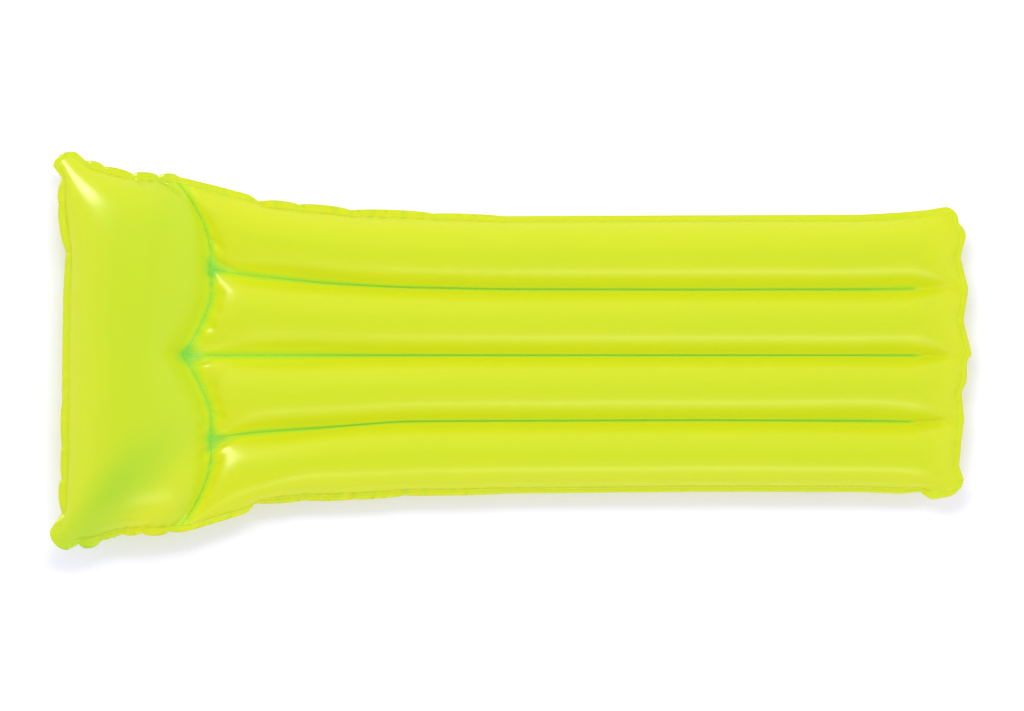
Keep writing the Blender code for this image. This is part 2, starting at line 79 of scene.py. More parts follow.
# The inflated plan, to the outside of the welded margin. Each place on an edge has the height of the lobe
# that the gathered margin makes from there to the next place: (x, y, lobe) on a side, (y, x, lobe) at an end
UPPER_EDGE = metres((-8700, 3735, 0), (-8060, 3735, 0), (-7830, 3545, 65), (-7510, 3475, 65),
    (-6990, 3350, 80), (-6520, 3280, 70), (-6160, 3265, 10), (-4870, 2942, 20), (-4660, 2790, 65),
    (-3920, 2735, 60), (-2960, 2635, 50), (-1460, 2580, 25), (-200, 2540, 0), (3500, 2555, 0),
    (6460, 2565, 0), (7200, 2605, 0), (7720, 2655, 0), (8060, 2715, 0), (8600, 2715, 0))
LOWER_EDGE = metres((-8700, 3640, 0), (-8200, 3640, 0), (-7980, 3520, 120), (-7585, 3475, 40),
    (-7180, 3350, 65), (-6830, 3310, 85), (-6340, 3280, 20), (-6000, 3295, 5), (-4900, 2960, 20),
    (-4736, 2760, 40), (-3850, 2710, 30), (-2900, 2690, 30), (-2000, 2625, 20), (-200, 2595, 0),
    (3500, 2560, 0), (6460, 2565, 0), (7200, 2600, 0), (7585, 2560, 30), (7820, 2700, 0), (8060, 2660, 0),
    (8600, 2660, 0))
HEAD_EDGE = metres((-4000, 8530, 0), (-3286, 8530, 0), (-2950, 8290, 70), (-2340, 8310, 30),
    (-1730, 8300, 30), (-960, 8305, 0), (0, 8300, 0), (860, 8285, 10), (1880, 8230, 65), (2700, 8350, 60),
    (3150, 8290, 0), (3410, 8480, 0), (4000, 8480, 0))
FOOT_EDGE = metres((-3000, 8330, 0), (-2400, 8400, 0), (-2083, 8290, 0), (-1650, 8330, 0), (-1214, 8385, 0),
    (-714, 8335, 0), (-520, 8430, 0), (-120, 8440, 0), (-30, 8530, 0), (600, 8370, 0), (1190, 8460, 0),
    (1780, 8315, 0), (2170, 8420, 0), (2340, 8365, 0), (2385, 8280, 0), (3000, 8300, 0))
UPPER_SEAM = metres((-6000, 1600), (-5530, 1580), (-5180, 1488), (-4710, 1432), (-3350, 1288),
    (-2050, 1220), (-200, 1185), (3500, 1175), (8500, 1190))
MIDDLE_SEAM = metres((-6200, -40), (-4000, -35), (8500, -35))
LOWER_SEAM = metres((-6000, -1600), (-5530, -1590), (-5150, -1510), (-4710, -1454), (-3350, -1362),
    (-2050, -1252), (3500, -1232), (8500, -1260))
CORNER_HEAD = 0.034
CORNER_FOOT = 0.03
LOBE_X = -0.5545
CUSP_Y = -0.0045
CUSP_IN = 0.05
CUSP_REACH = 0.112
SHOULDER_IN = 0.0675
SHOULDER_START = 0.185
SHOULDER_REACH = 0.144
NARROWING = 0.862
RIPPLE = 0.0011
CREASE = 0.0022
CREASE_WIDTH = 0.0045
CREASE_LENGTH = 0.018
SHOULDER_CREASES = ((-0.592, -0.576), (-0.612, -0.596))
FOOT_SMOOTH = 0.1
FOOT_PASSES = 50
CORNER_SMOOTH = 0.12
CORNER_PASSES = 16
BEAD_RADIUS = 0.0005
BEAD_SIDES = 6
BED_LEVEL = 0.0563
PILLOW_LEVEL = 0.083
LEVEL_START = -0.7
LEVEL_REACH = 0.35
EDGE_REACH = 0.004
SEAM_REACH = 0.03

# The shape that the simulation starts from
START_TUBE_R = 0.0565
START_TUBE_ANGLE = 1.5
START_PILLOW_R = 0.085
START_PILLOW_ANGLE = 1.15
START_PILLOW_HALF = 0.355
START_FOOT_X = 0.82
QUARTER = math.pi / 2

# The simulation: air and weight for each step, how the film bends and creeps, what slows it and holds it
COARSE_PUSH = 2.5e-5
COARSE_WEIGHT = 1e-6
FINE_PUSH = 1.2e-5
FINE_WEIGHT = 5e-7
BENDING = 0.3
GATHERED_BENDING = 0.5
CREEP = 0.02
DAMPING = 0.97
LEAST_CHORD = 0.93
EDGE_HOLD = 0.1
SEAM_HOLD = 0.06
LEVEL_HOLD = 0.004

# Gathered film: how far the gathers reach from a weld, and how much longer the film is there
GATHER_REACH = 0.013
SEAM_GATHER_REACH = 0.011
SIDE_GATHER = 0.012
BED_GATHER = 0.055
HEAD_GATHER = 0.03
SEAM_GATHER = 0.004
RUFFLE = 0.004


def smooth(share):
    """A soft step from 0 to 1."""
    share = np.clip(share, 0.0, 1.0)
    return share * share * (3 - 2 * share)


def line(points, x, reach):
    """Places along a smooth line through a few points: straight pieces, averaged over a short reach."""
    xs, ys = points.T[:2]
    total = 0.0
    for step in (-1.0, -0.6, -0.2, 0.2, 0.6, 1.0):
        total = total + np.interp(x + step * reach, xs, ys)
    return total / 6


def lobe(points, x):
    """How far the margin's lobes reach out here, beyond the straight pieces between their places."""
    xs, _, heights = points.T
    index = np.clip(np.searchsorted(xs, x, side="right") - 1, 0, len(xs) - 2)
    share = np.clip((x - xs[index]) / (xs[index + 1] - xs[index]), 0, 1)
    return heights[index] * np.sqrt(4 * share * (1 - share))


def seam_dip(away):
    """How far the pillow seam lies behind its lobes, by the distance from its cusp."""
    cusp = CUSP_IN * np.clip(1 - away / CUSP_REACH, 0, 1) ** 1.35
    return cusp + SHOULDER_IN * np.clip((away - SHOULDER_START) / SHOULDER_REACH, 0, 1.2) ** 1.7


def flat_seam(v):
    """Length of the pillow's film at this place across the flat pattern."""
    return PILLOW_FLAT - seam_dip(np.abs(v) * NARROWING)


def spread(total, fine, coarse, near):
    """Places from 0 to total, fine within this distance of both ends and coarse between."""
    places = [0.0]
    while places[-1] < total:
        room = min(places[-1], total - places[-1])
        places.append(places[-1] + fine + (coarse - fine) * float(smooth((room - near) / near)))
    count = (len(places) - 1 + 3) // 4 * 4
    share = np.arange(count + 1) / count * (len(places) - 1)
    return np.interp(share, np.arange(len(places)), places) * total / places[-1]


def rounded(a, b):
    """A square corner mapped to a round one: a and b are shares of its size, 1 on its two sides."""
    return a * np.sqrt(1 - b * b / 2), b * np.sqrt(1 - a * a / 2)


def round_corner(x, y, corner_x, corner_y, size):
    """Rounds the corner of the plan at this place. The corner's sides run along x and y."""
    away_x = -math.copysign(1, corner_x)
    away_y = -math.copysign(1, corner_y)
    a = 1 - (x - corner_x) * away_x / size
    b = 1 - (y - corner_y) * away_y / size
    inside = (a > 0) & (b > 0)
    a2, b2 = rounded(np.clip(a, 0, 1.1), np.clip(b, 0, 1.1))
    x = np.where(inside, corner_x + away_x * size * (1 - a2), x)
    y = np.where(inside, corner_y + away_y * size * (1 - b2), y)
    return x, y


class Pattern:
    """One grid laid over the flat pattern, the same for both films: every place of it, or every second."""

    def __init__(self, step, tube_steps=36, pillow_steps=64, fine=0.0055, coarse=0.0105):
        out = np.linspace(0, 1, 2 // step + 1)[1:]
        tube = np.linspace(0, TUBE_FLAT, tube_steps // step + 1)
        columns = [-HALF_FLAT - MARGIN * out[::-1]]
        for index in range(TUBES):
            columns.append(-HALF_FLAT + index * PITCH_FLAT + tube)
        columns.append(HALF_FLAT + MARGIN * out)
        self.v = np.concatenate(columns)
        self.edge = 2 // step
        self.tube = tube_steps // step

        pillow = np.linspace(0, 1, pillow_steps // step + 1)
        bed = spread(BED_FLAT, fine, coarse, 0.16)[::step] / BED_FLAT
        # A row's key: -1 to 0 on the head's margin, to 1 on the pillow, 2 to 3 on the bed, to 4 on the margin
        self.key = np.concatenate([-out[::-1], pillow, 2 + bed, 3 + out])
        self.seam_row = self.edge + len(pillow) - 1
        self.rows, self.columns = len(self.key), len(self.v)

        key = self.key[:, None] + 0 * self.v[None]
        self.across = self.v[None, :] + 0 * key
        inside = np.clip(self.across, -HALF_FLAT, HALF_FLAT)
        pillow_length = flat_seam(inside)
        bed_length = END_FLAT - pillow_length - SEAM
        u = np.where(key <= 1, np.clip(key, 0, 1) * pillow_length,
                     pillow_length + SEAM + np.clip(key - 2, 0, 1) * bed_length)
        self.u = u + MARGIN * np.clip(key, -1, 0) + MARGIN * np.clip(key - 3, 0, 1)

        weld = np.ones((self.rows, self.columns), np.float32)
        edge = self.edge
        weld[edge + 1:-edge - 1, edge + 1:-edge - 1] = 0
        self.rim = weld.copy()
        weld[self.seam_row:self.seam_row + 2] = 1
        seamed = (self.key >= 2) & (self.u[:, self.columns // 2] <= END_FLAT - PASSAGE_FLAT)
        for index in range(1, TUBES):
            last = edge + index * (self.tube + 1) - 1
            weld[np.ix_(seamed, [last, last + 1])] = 1
        self.weld = weld
        self.press = np.zeros((self.rows, self.columns), np.float32)
        self.press[edge:-edge, edge:-edge] = 1

        centre = END_FLAT / 2
        half = END_FLAT / 2 + MARGIN
        flat_x, flat_y = self.u - centre, self.across
        for corner_x, size in ((-half, CORNER_HEAD), (half, CORNER_FOOT)):
            for corner_y in (-HALF_FLAT - MARGIN, HALF_FLAT + MARGIN):
                flat_x, flat_y = round_corner(flat_x, flat_y, corner_x, corner_y, size)
        self.flat_x, self.flat_y = flat_x, flat_y
        self.measure()

    def measure(self):
        """Distances: behind the pillow seam, past the tube seams, inwards from the edge and along it."""
        seam_u = flat_seam(self.across) + SEAM / 2
        self.behind = self.u - seam_u
        self.past = np.maximum(self.u - (END_FLAT - PASSAGE_FLAT), 0) + np.maximum(-self.behind, 0)
        self.to_rim = np.minimum(np.minimum(self.u, END_FLAT - self.u), HALF_FLAT - np.abs(self.across))
        self.at_side = HALF_FLAT - np.abs(self.across) < np.minimum(self.u, END_FLAT - self.u)
        self.along = np.where(self.at_side, self.u, self.across)


def weld_lines(x):
    """Y of the outer edges and the tube seams."""
    lower = -line(LOWER_EDGE, x, EDGE_REACH)
    upper = line(UPPER_EDGE, x, EDGE_REACH)
    seams = [line(seam, x, SEAM_REACH) for seam in (LOWER_SEAM, MIDDLE_SEAM, UPPER_SEAM)]
    return [lower + MARGIN] + seams + [upper - MARGIN]


def seam_x(y):
    """X of the pillow seam, by y."""
    return LOBE_X - seam_dip(np.abs(y - CUSP_Y))


def weld_level(x):
    """Height of the welds, which sink from the pillow's level to the bed's."""
    return PILLOW_LEVEL + (BED_LEVEL - PILLOW_LEVEL) * smooth((x - LEVEL_START) / LEVEL_REACH)


def start_shape(pattern):
    """Plan and height of the films before the simulation, (3, rows, columns)."""
    v = pattern.across
    key = pattern.key[:, None] + 0 * v
    v_in = np.clip(v, -HALF_FLAT, HALF_FLAT)
    tube = np.clip(((v_in + HALF_FLAT) / PITCH_FLAT).astype(int), 0, TUBES - 1)
    across = np.clip((v_in + HALF_FLAT - tube * PITCH_FLAT) / TUBE_FLAT, 0, 1) * 2 - 1
    radius, bow = START_TUBE_R, START_TUBE_ANGLE

    def tube_y(x, full):
        lines = weld_lines(x)
        low = np.choose(tube, lines[:4]) + SEAM / 2 * (tube > 0)
        high = np.choose(tube, lines[1:]) - SEAM / 2 * (tube < TUBES - 1)
        place = across + (np.sin(across * bow) / math.sin(bow) - across) * full
        return (low + high) / 2 + (high - low) / 2 * place

    # Bed: the film climbs a quarter circle at each end
    bed_length = END_FLAT - flat_seam(v_in) - SEAM
    done = np.clip(key - 2, 0, 1) * bed_length
    room = np.minimum(done, bed_length - done)
    turn = radius * QUARTER
    quarter = np.clip(room / radius, 0, QUARTER)
    climb = np.where(room < turn, radius * (1 - np.cos(quarter)), room - turn + radius)
    y_seam = tube_y(np.full_like(v, LOBE_X), 0)
    for _ in range(4):
        y_seam = tube_y(seam_x(y_seam), 0)
    begin = seam_x(y_seam) + SEAM / 2
    foot_y = tube_y(np.full_like(v, START_FOOT_X), 0)
    end = line(FOOT_EDGE, foot_y, EDGE_REACH) - MARGIN
    made = bed_length - 2 * (turn - radius)
    arched = np.where(done <= bed_length / 2, climb, made - climb) / made
    along = done / bed_length
    along = along + (arched - along) * np.sqrt(1 - across * across)
    x_bed = begin + along * (end - begin)
    y_bed = tube_y(x_bed, np.sin(quarter))
    z_bed = radius * (np.cos(across * bow) - math.cos(bow)) / (1 - math.cos(bow)) * np.sin(quarter)

    # Pillow: a crowned pad between the head's edge, the seam and the two sides
    share = np.clip(key, 0, 1)
    angle, big = START_PILLOW_ANGLE, START_PILLOW_R
    crown = (np.cos((share * 2 - 1) * angle) - math.cos(angle)) / (1 - math.cos(angle))
    side = HALF_FLAT - np.abs(v_in)
    turn = big * QUARTER
    quarter = np.clip(side / big, 0, QUARTER)
    climb = np.where(side < turn, big * (1 - np.cos(quarter)), side - turn + big)
    level_share = v_in / HALF_FLAT
    even = np.sign(v_in) * (1 - climb / (HALF_FLAT - turn + big))
    even = level_share + (even - level_share) * np.sqrt(crown)
    x_end = seam_x(y_seam) - SEAM / 2
    head_y = even * START_PILLOW_HALF
    head = -line(HEAD_EDGE, head_y, EDGE_REACH) + MARGIN
    arched = (1 + np.sin((share * 2 - 1) * angle) / math.sin(angle)) / 2
    along = share + (arched - share) * np.sin(quarter)
    x_pillow = head + (x_end - head) * along
    lines = weld_lines(x_pillow)
    half = np.where(v_in > 0, lines[4], -lines[0])
    y_even = even * half
    y_pillow = y_even + (y_seam - y_even) * smooth((share - 0.15) / 0.85)
    z_pillow = PILLOW_LEVEL * crown * np.sin(quarter)

    x, y, z = np.where(key <= 1, (x_pillow, y_pillow, z_pillow), (x_bed, y_bed, z_bed))
    side = np.where(v > 0, lobe(UPPER_EDGE, x), lobe(LOWER_EDGE, x))
    x = x + (MARGIN + lobe(HEAD_EDGE, head_y)) * np.clip(key, -1, 0)
    x = x + (MARGIN + lobe(FOOT_EDGE, foot_y)) * np.clip(key - 3, 0, 1)
    y = y + (v - v_in) * (1 + side / MARGIN)
    for ends, place, way, size in ((HEAD_EDGE, 0, -1, CORNER_HEAD), (FOOT_EDGE, -1, 1, CORNER_FOOT)):
        x, y = round_corner(x, y, way * ends[-1][1], UPPER_EDGE[place][1], size)
        x, y = round_corner(x, y, way * ends[0][1], -LOWER_EDGE[place][1], size)
    return np.array([x, y, z])


class Films:
    """The two films of one pattern: place [axis, film, row, column]."""

    def __init__(self, pattern, place):
        self.pattern = pattern
        self.place = place.astype(np.float32)
        self.speed = np.zeros_like(self.place)
        self.spans = []
        every, up, down = slice(None), slice(0, -1), slice(1, None)
        for first in (0, 1):
            across = self.pair(first, pattern.columns)
            along = self.pair(first, pattern.rows)
            self.add((every, across[0]), (every, across[1]), "edge")
            self.add((along[0], every), (along[1], every), "edge")
            self.add((up, across[0]), (down, across[1]), "diagonal")
            self.add((down, across[0]), (up, across[1]), "diagonal")
        along = np.hypot(np.gradient(pattern.flat_x, axis=0), np.gradient(pattern.flat_y, axis=0))
        across = np.hypot(np.gradient(pattern.flat_x, axis=1), np.gradient(pattern.flat_y, axis=1))
        self.area = (along * across).astype(np.float32)
        target = start_shape(pattern)
        self.target = target[:2].astype(np.float32)
        self.level = weld_level(target[0]).astype(np.float32)
        self.hold = pattern.rim * EDGE_HOLD + (pattern.weld - pattern.rim) * SEAM_HOLD
        self.hold_level = pattern.weld * LEVEL_HOLD
        self.floor = FILM + GAP / 2

    @staticmethod
    def pair(first, count):
        """Two slices that pair each place with the next, starting at the first or the second."""
        last = first + (count - first) // 2 * 2
        return slice(first, last, 2), slice(first + 1, last, 2)

    def add(self, a, b, kind):
        length = self.flat_length(a, b).astype(np.float32)
        self.spans.append([a, b, np.stack([length, length]), kind])

    def flat_length(self, a, b):
        """Lengths between two sets of places on the flat pattern."""
        grid = self.pattern
        return np.hypot(grid.flat_x[b] - grid.flat_x[a], grid.flat_y[b] - grid.flat_y[a])

    def reach(self, a, b):
        """Two sets of places on both films, the way from one to the other and its length."""
        first = self.place[(slice(None), slice(None)) + a]
        second = self.place[(slice(None), slice(None)) + b]
        gap = second - first
        return first, second, gap, np.sqrt(gap[0] * gap[0] + gap[1] * gap[1] + gap[2] * gap[2]) + 1e-9

    def project(self, stretch, squeeze, creep):
        """Brings every span back towards its length. With creep, film that is squeezed grows shorter."""
        for a, b, length, kind in self.spans:
            first, second, gap, size = self.reach(a, b)
            if creep:
                length += creep * np.minimum(size - length, 0)
            over = (size - length) / size
            over *= np.where(over > 0, 0.5 * stretch[kind], 0.5 * squeeze[kind])
            gap *= over
            first += gap
            second -= gap

    def gather(self):
        """Lengthens the film beside the gathered welds, so that it ruffles there."""
        grid = self.pattern
        inwards = HALF_FLAT - np.abs(grid.across)
        near_side = np.exp(-((inwards / GATHER_REACH) ** 2)) * (inwards > 0) + (inwards <= 0)
        fade = np.where(grid.across > 0, smooth((grid.u - 0.62) / 0.25), smooth((grid.u - 0.40) / 0.30))
        along = (BED_GATHER * (1 - fade) + SIDE_GATHER) * near_side
        near_head = np.exp(-((np.clip(grid.u, 0, 1) / GATHER_REACH) ** 2))
        behind = grid.u - flat_seam(grid.across) - SEAM / 2
        across = HEAD_GATHER * near_head + SEAM_GATHER * np.exp(-((behind / SEAM_GATHER_REACH) ** 2))
        rng = np.random.default_rng(7)
        for a, b, length, _ in self.spans:
            more = (along[a] + along[b]) / 2
            wide = (across[a] + across[b]) / 2
            du = np.abs(grid.flat_x[b] - grid.flat_x[a])
            dv = np.abs(grid.flat_y[b] - grid.flat_y[a])
            total = np.hypot(du, dv) + 1e-9
            length *= (1 + more * (du / total) ** 2 + wide * (dv / total) ** 2).astype(np.float32)
        ruffle = rng.normal(0, 1, grid.weld.shape)
        for _ in range(3):
            ruffle[1:-1] = (ruffle[2:] + ruffle[:-2] + ruffle[1:-1]) / 3
            ruffle[:, 1:-1] = (ruffle[:, 2:] + ruffle[:, :-2] + ruffle[:, 1:-1]) / 3
        self.place[2] += (ruffle * RUFFLE * grid.rim).astype(np.float32)

    def bend(self, amount, least):
        """Keeps the film from folding sharply, except at a weld."""
        free = 1 - self.pattern.weld
        for first in range(4):
            for axis in (0, 1):
                count = self.place.shape[2 + axis]
                starts = range(first, count - 2, 4)
                if not starts:
                    continue
                ahead = [slice(step + first, step + starts[-1] + 1, 4) for step in (0, 1, 2)]
                a, m, b = [(piece, slice(None)) if axis == 0 else (slice(None), piece) for piece in ahead]
                flat = self.flat_length(a, b)
                one, two, gap, size = self.reach(a, b)
                over = np.minimum(1 - flat * least / size, 0) * (0.5 * amount) * free[m]
                gap *= over.astype(np.float32)
                one += gap
                two -= gap

    def step(self, push, weight, stretch, squeeze, bend, creep=0.0):
        """One moment of the simulation: the air's push and the film's weight, then what holds the film."""
        place = self.place
        before = place.copy()
        along = np.zeros_like(place)
        along[:, :, 1:-1] = place[:, :, 2:] - place[:, :, :-2]
        across = np.zeros_like(place)
        across[:, :, :, 1:-1] = place[:, :, :, 2:] - place[:, :, :, :-2]
        normal = np.array([
            along[1] * across[2] - along[2] * across[1],
            along[2] * across[0] - along[0] * across[2],
            along[0] * across[1] - along[1] * across[0],
        ])
        normal[:, 1] *= -1
        self.speed += normal * (push * self.pattern.press / (4 * self.area))
        self.speed[2] -= weight
        self.speed *= DAMPING
        place += self.speed
        self.project(stretch, squeeze, creep)
        self.bend(bend, LEAST_CHORD)
        half = (place[:, 1] - place[:, 0]) * (0.5 * self.pattern.weld)
        place[:, 0] += half
        place[:, 1] -= half
        place[:2] += (self.target[:, None] - place[:2]) * self.hold
        place[2] += (self.level - place[2]) * self.hold_level
        np.maximum(place[2], self.floor, out=place[2])
        self.speed = place - before


def between(coarse, fine):
    """Weights that carry values from coarse places to fine ones."""
    weights = np.zeros((len(fine), len(coarse)))
    for row, value in enumerate(fine):
        index = int(np.clip(np.searchsorted(coarse, value, side="right") - 1, 0, len(coarse) - 2))
        share = (value - coarse[index]) / (coarse[index + 1] - coarse[index])
        weights[row, index] = 1 - share
        weights[row, index + 1] = share
    return weights


def refined(films, pattern):
    """The same films on a finer grid, with the lengths that they have crept to."""
    rows = between(films.pattern.key, pattern.key)
    columns = between(films.pattern.v, pattern.v)
    finer = Films(pattern, np.einsum("rs,afsc,dc->afrd", rows, films.place, columns))
    for a, b, length, _ in finer.spans:
        gap = finer.reach(a, b)[2]
        length[:] = np.minimum(length, np.sqrt((gap * gap).sum(0)) * 1.01)
    return finer


def inflate(coarse_steps, fine_steps):
    """The two films, blown up on a coarse grid and then on a fine one, with the gathers last."""
    coarse = Pattern(2)
    x, y, z = start_shape(coarse)
    level = weld_level(x)
    films = Films(coarse, np.array([[x, x], [y, y], [level + z, level - z]]))
    stretch = {"edge": 1.0, "diagonal": 0.5}
    squeeze = {"edge": 0.3, "diagonal": 0.05}
    for _ in range(coarse_steps):
        films.step(COARSE_PUSH, COARSE_WEIGHT, stretch, squeeze, BENDING, CREEP)
    pattern = Pattern(1)
    films = refined(films, pattern)
    for _ in range(fine_steps):
        films.step(FINE_PUSH, FINE_WEIGHT, stretch, squeeze, BENDING, CREEP)
    films.gather()
    squeeze = {"edge": 0.8, "diagonal": 0.3}
    for _ in range(fine_steps):
        films.step(FINE_PUSH, FINE_WEIGHT, stretch, squeeze, GATHERED_BENDING)
    return pattern, films.place


def ripple(place):
    """Waves along the margin, uneven as gathered film is."""
    return np.sin(place * 190 + 1.3 * np.sin(place * 37)) + 0.7 * np.sin(place * 134 + 2)


def relax(pattern, place):
    """Smooths the film near the foot, where the tubes run together, and in the pillow's corners."""
    foot = smooth((pattern.u - END_FLAT + FOOT_SMOOTH) / 0.03)
    corner = np.hypot(pattern.u, HALF_FLAT - np.abs(pattern.across))
    corner = 1 - smooth((corner - CORNER_SMOOTH / 2) / (CORNER_SMOOTH / 2))
    for near, passes in ((foot, FOOT_PASSES), (corner, CORNER_PASSES)):
        near = near * (1 - pattern.weld) * 0.5
        for _ in range(passes):
            middle = place.copy()
            middle[..., 1:-1, 1:-1] = (place[..., 2:, 1:-1] + place[..., :-2, 1:-1]
                                       + place[..., 1:-1, 2:] + place[..., 1:-1, :-2]) / 4
            place = place + (middle - place) * near
    return place


def crimp(pattern, place):
    """The margin follows its lobes and ripples, and the film creases inwards where two lobes meet."""
    target = start_shape(pattern)
    place[:2] += (target[:2, None] - place[:2]) * (pattern.rim > 0)
    x, y = target[:2]
    out = np.clip(-pattern.to_rim / MARGIN, 0, 1)
    at_side = pattern.at_side
    gathered = 0.3 + 0.7 * smooth((-0.02 - x) / 0.1)
    place[2] += out * gathered * RIPPLE * ripple(pattern.along)
    depth = np.zeros_like(x)
    for points, where, spot in ((UPPER_EDGE, at_side & (y > 0), x), (LOWER_EDGE, at_side & (y < 0), x),
                                (HEAD_EDGE, ~at_side & (x < 0), y)):
        for first, _, height in points:
            if height > 0.002:
                depth += where * np.exp(-((spot - first) / CREASE_WIDTH) ** 2) * min(height / 0.006, 1)
    for spot, where in ((SHOULDER_CREASES[0], y > 0), (SHOULDER_CREASES[1], y < 0)):
        for first in spot:
            depth += 0.8 * at_side * where * np.exp(-((x - first) / CREASE_WIDTH) ** 2)
    fade = np.exp(-np.clip(pattern.to_rim, 0, 1) / CREASE_LENGTH)
    place[2, 0] -= depth * fade * CREASE
    place[2, 1] += depth * fade * CREASE * (pattern.to_rim > 0) - depth * CREASE * (pattern.to_rim <= 0)
    return place


# Valves, heights along the axis from the film's outer face, outwards
FILM_HOLE_R = 0.0132
FLANGE_R = 0.0185
FLANGE = 0.0009
CUP_R = 0.0118
CUP_WALL = 0.0007
CUP_DEPTH = 0.016
CUP_FOLD = 0.003
FIT = 0.0003
EDGE = 0.0003
EASE = 0.0002
BORE_R = 0.0042
STEM_R = 0.006
BEAD_R = 0.0066
BEAD = 0.001
COLLAR_R = 0.0072
COLLAR_LIP = 0.0006
CAP_R = 0.007
CAP = 0.0024
CAP_RECESS = 0.0006
CAP_DISH = 0.0007
TAB_REACH = 0.01
TAB_WIDTH = 0.005
TAB = 0.0011
PLUG_R = 0.004
PLUG_LENGTH = 0.0085
PLUG_TAPER = 0.0022
RING = 0.002
RING_WALL = 0.0017
STRAP_WIDTH = 0.004
STRAP = 0.001
STRAP_REACH = 0.0106
FLAP_R = 0.0052
FLAP = 0.0006
FLAP_HINGE_R = 0.0062
FLAP_LUG = 0.0024
STEM_TIP = -(CAP_RECESS + CAP + FIT)
STEM_END = -(CUP_DEPTH + CUP_WALL + COLLAR_LIP)
SEGMENTS = 64
SEAT_R = 0.02
SEAT_EASE = 0.03


def valve_frame(name):
    """Place and turn of a valve, from the joints of its parts."""
    joints = {joint["name"]: joint for joint in frame["joints"]}
    short = name.split("_")[0]
    origin = Vector(joints[short + "_tether_turn"]["pos_m"])
    out = Vector(joints[short + "_tether_turn"]["axis"]).normalized()
    side = Vector(joints[short + "_flap_hinge"]["axis"]).normalized()
    ahead = side.cross(out).normalized()
    turn = Matrix((ahead, out.cross(ahead), out)).transposed().to_4x4()
    return Matrix.Translation(origin) @ turn


def put(name, data):
    """A new object in the scene."""
    made = bpy.data.objects.new(name, data)
    bpy.context.scene.collection.objects.link(made)
    return made


def mesh_object(name, points, faces):
    """An object of these points and smooth faces."""
    mesh = bpy.data.meshes.new(name)
    mesh.from_pydata(np.asarray(points).tolist(), [], [tuple(face) for face in faces])
    mesh.shade_smooth()
    return put(name, mesh)


def solid(name, points, faces):
    """A closed body: doubles merged, faces outwards, sharp where it turns by more than 40 degrees."""
    made = mesh_object(name, points, faces)
    shape = bmesh.new()
    shape.from_mesh(made.data)
    bmesh.ops.remove_doubles(shape, verts=shape.verts, dist=1e-7)
    bmesh.ops.recalc_face_normals(shape, faces=shape.faces)
    shape.to_mesh(made.data)
    shape.free()
    made.data.shade_smooth()
    made.data.set_sharp_from_angle(angle=math.radians(40))
    return made


def lathe(name, profile):
    """A closed body turned round Z from a profile of (radius, height)."""
    points, rings = [], []
    for radius, height in profile:
        if radius < 1e-7:
            rings.append([len(points)])
            points.append((0, 0, height))
        else:
            rings.append(list(range(len(points), len(points) + SEGMENTS)))
            for index in range(SEGMENTS):
                angle = 2 * math.pi * index / SEGMENTS
                points.append((radius * math.cos(angle), radius * math.sin(angle), height))
    faces = []
    for index, ring in enumerate(rings):
        after = rings[(index + 1) % len(rings)]
        if len(ring) == 1 and len(after) == 1:
            continue
        for step in range(SEGMENTS):
            corners = (ring[step % len(ring)], ring[(step + 1) % len(ring)],
                       after[(step + 1) % len(after)], after[step % len(after)])
            faces.append(dict.fromkeys(corners))
    return solid(name, points, faces)


def extruded(name, outline, width):
    """A solid from an outline of (x, z), half the width to each side in Y."""
    count = len(outline)
    points = [(x, -width / 2, z) for x, z in outline] + [(x, width / 2, z) for x, z in outline]
    faces = [tuple(range(count)), tuple(range(2 * count - 1, count - 1, -1))]
    faces += [(index, (index + 1) % count, (index + 1) % count + count, index + count)
              for index in range(count)]
    return solid(name, points, faces)


def combine(target, tool, operation):
    """The Boolean of two objects, as a plain mesh on the first."""
    step = target.modifiers.new("cut", "BOOLEAN")
    step.operation, step.solver, step.object = operation, "EXACT", tool
    graph = bpy.context.evaluated_depsgraph_get()
    mesh = bpy.data.meshes.new_from_object(target.evaluated_get(graph))
    target.modifiers.clear()
    target.data = mesh
    bpy.data.objects.remove(tool)
    return target


def arc(radius, height, size, first, last, count):
    """Points of an arc round (radius, height), turning outwards from the top."""
    return [(radius + size * math.sin(angle), height + size * math.cos(angle))
            for angle in np.linspace(first, last, count)]


def finish_piece(made, name, look, body, nodes, turn=None):
    """Names a piece, gives it its look and its body, and says which nodes it replaces."""
    if turn is not None:
        made.data.transform(turn)
    made.name = name
    made.data.materials.clear()
    made.data.materials.append(look)
    if body:
        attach(made, body)
    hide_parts(*nodes)


